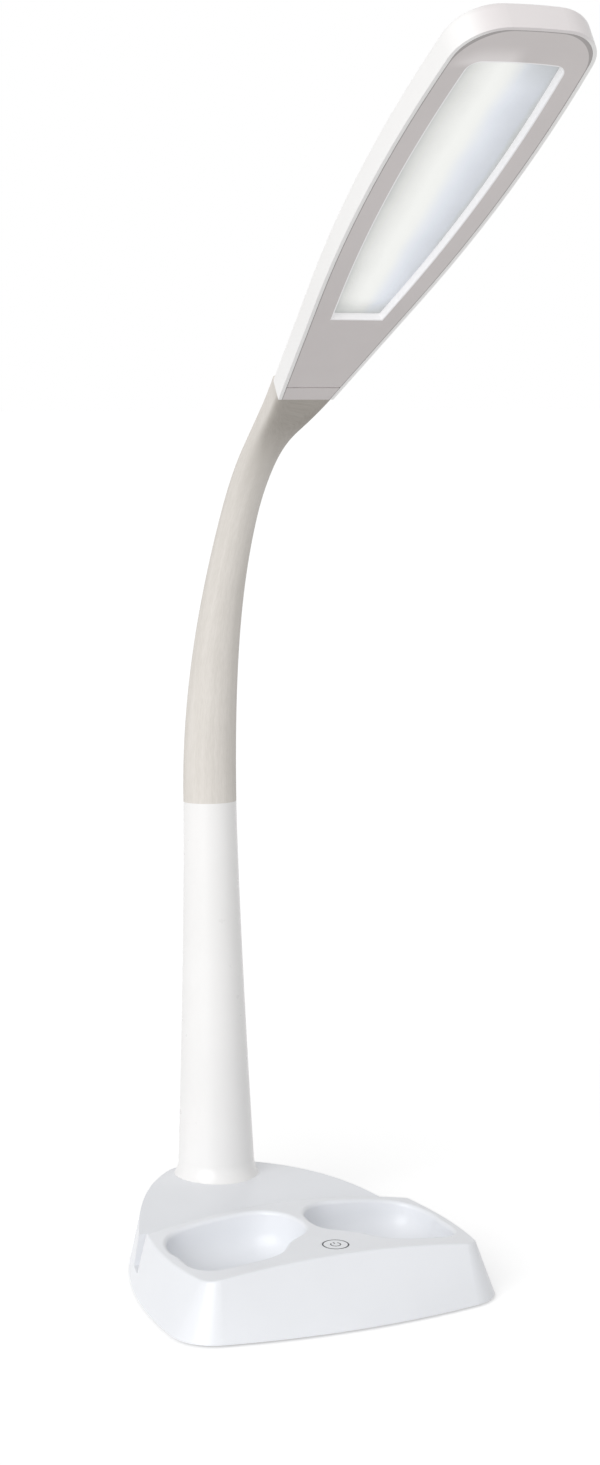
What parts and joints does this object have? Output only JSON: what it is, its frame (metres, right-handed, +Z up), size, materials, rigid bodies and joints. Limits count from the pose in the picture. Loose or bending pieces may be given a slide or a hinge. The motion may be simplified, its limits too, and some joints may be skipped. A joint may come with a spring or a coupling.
{
  "type": "desk lamp with storage base",
  "caption": "LED desk lamp with a flat paddle head on a flexible neck, a tapered stem, and a base with open wells, a push button and a slot that holds a tablet upright.",
  "frame": {"origin": "on the table under the foot of the stem, at the underside of the anti-slip pad", "axes": "+Z up, -Y towards the front of the base, +X to the right seen from the front"},
  "size_m": [0.179, 0.3911, 0.6224],
  "materials": {
    "white_housing": "gloss injection-moulded ABS",
    "grey_bezel": "satin moulded ABS, warm grey",
    "neck_rubber": "soft matte silicone sleeve",
    "frosted_diffuser": "frosted acrylic sheet",
    "white_reflector": "matte white",
    "cover_plastic": "fine-textured ABS",
    "pad_rubber": "die-cut rubber sheet",
    "bare_steel": "zinc plated",
    "screw_steel": "zinc plated",
    "board_laminate": "solder mask",
    "board_aluminium": "plain sheet",
    "led_package": "phosphor-coated package",
    "black_plastic": "moulded",
    "contact_brass": "plated"
  },
  "bodies": {
    "base": {"base_shell": "white_housing", "bottom_cover": "cover_plastic", "cover_screws": "screw_steel", "anti_slip_pad": "pad_rubber", "ballast_plate": "bare_steel", "tact_switch": "black_plastic", "control_board": "board_laminate", "board_screws": "screw_steel", "usb_shell": "bare_steel", "usb_tongue": "black_plastic", "dc_inlet": "black_plastic", "dc_pin": "contact_brass", "stem_shell": "white_housing", "stem_washer": "bare_steel", "stem_nut": "bare_steel", "gooseneck_anchor": "bare_steel", "neck_sleeve_0": "neck_rubber", "gooseneck_core_0": "bare_steel"},
    "button": {"power_button": "white_housing", "switch_plunger": "black_plastic"},
    "neck_1": {"neck_sleeve_1": "neck_rubber", "gooseneck_core_1": "bare_steel"},
    "neck_2": {"neck_sleeve_2": "neck_rubber", "gooseneck_core_2": "bare_steel"},
    "neck_3": {"neck_sleeve_3": "neck_rubber", "gooseneck_core_3": "bare_steel"},
    "neck_4": {"neck_sleeve_4": "neck_rubber", "gooseneck_core_4": "bare_steel"},
    "neck_5": {"neck_sleeve_5": "neck_rubber", "gooseneck_core_5": "bare_steel"},
    "neck_6": {"neck_sleeve_6": "neck_rubber", "gooseneck_core_6": "bare_steel"},
    "neck_7": {"neck_sleeve_7": "neck_rubber", "gooseneck_core_7": "bare_steel"},
    "neck_8": {"neck_sleeve_8": "neck_rubber", "gooseneck_core_8": "bare_steel"},
    "head": {"neck_flare": "neck_rubber", "head_ferrule": "bare_steel", "ferrule_nut": "bare_steel", "head_casing": "white_housing", "head_bezel": "grey_bezel", "diffuser": "frosted_diffuser", "reflector": "white_reflector", "led_board": "board_aluminium", "led_chips": "led_package", "heat_spreader": "board_aluminium", "led_screws": "screw_steel"}
  },
  "joints": [
    {"name": "neck_lower_bend_0", "type": "hinge", "parent": "base", "child": "neck_1", "pos_m": [0, 0.00828, 0.26185], "axis": [1, 0, 0], "range_deg": [-15, 12]},
    {"name": "neck_side_bend_1", "type": "hinge", "parent": "neck_1", "child": "neck_2", "pos_m": [0, 0.00632, 0.28501], "axis": [0, 0.9921, 0.1255], "range_deg": [-12, 12]},
    {"name": "neck_lower_bend_2", "type": "hinge", "parent": "neck_2", "child": "neck_3", "pos_m": [0, 0.00246, 0.30793], "axis": [1, 0, 0], "range_deg": [-15, 12]},
    {"name": "neck_lower_bend_3", "type": "hinge", "parent": "neck_3", "child": "neck_4", "pos_m": [0, -0.00329, 0.33045], "axis": [1, 0, 0], "range_deg": [-15, 12]},
    {"name": "neck_side_bend_4", "type": "hinge", "parent": "neck_4", "child": "neck_5", "pos_m": [0, -0.01087, 0.35242], "axis": [0, 0.931, 0.365], "range_deg": [-12, 12]},
    {"name": "neck_upper_bend_5", "type": "hinge", "parent": "neck_5", "child": "neck_6", "pos_m": [0, -0.02024, 0.37369], "axis": [1, 0, 0], "range_deg": [-15, 12]},
    {"name": "neck_upper_bend_6", "type": "hinge", "parent": "neck_6", "child": "neck_7", "pos_m": [0, -0.03133, 0.39412], "axis": [1, 0, 0], "range_deg": [-15, 12]},
    {"name": "neck_side_bend_7", "type": "hinge", "parent": "neck_7", "child": "neck_8", "pos_m": [0, -0.04438, 0.41334], "axis": [0, 0.7822, 0.6231], "range_deg": [-12, 12]},
    {"name": "neck_upper_bend_8", "type": "hinge", "parent": "neck_8", "child": "head", "pos_m": [0, -0.06028, 0.43026], "axis": [1, 0, 0], "range_deg": [-15, 12]},
    {"name": "button_press", "type": "slide", "parent": "base", "child": "button", "axis": [0, 0, -1], "range_m": [0, 0.0008], "stiffness_N_per_m": 1500, "springref_m": -0.0005}
  ],
  "couplings": [
    {"joint": "neck_lower_bend_2", "follows": "neck_lower_bend_0", "ratio": 1},
    {"joint": "neck_lower_bend_3", "follows": "neck_lower_bend_0", "ratio": 1},
    {"joint": "neck_side_bend_4", "follows": "neck_side_bend_1", "ratio": 1},
    {"joint": "neck_upper_bend_6", "follows": "neck_upper_bend_5", "ratio": 1},
    {"joint": "neck_side_bend_7", "follows": "neck_side_bend_1", "ratio": 1},
    {"joint": "neck_upper_bend_8", "follows": "neck_upper_bend_5", "ratio": 1}
  ]
}
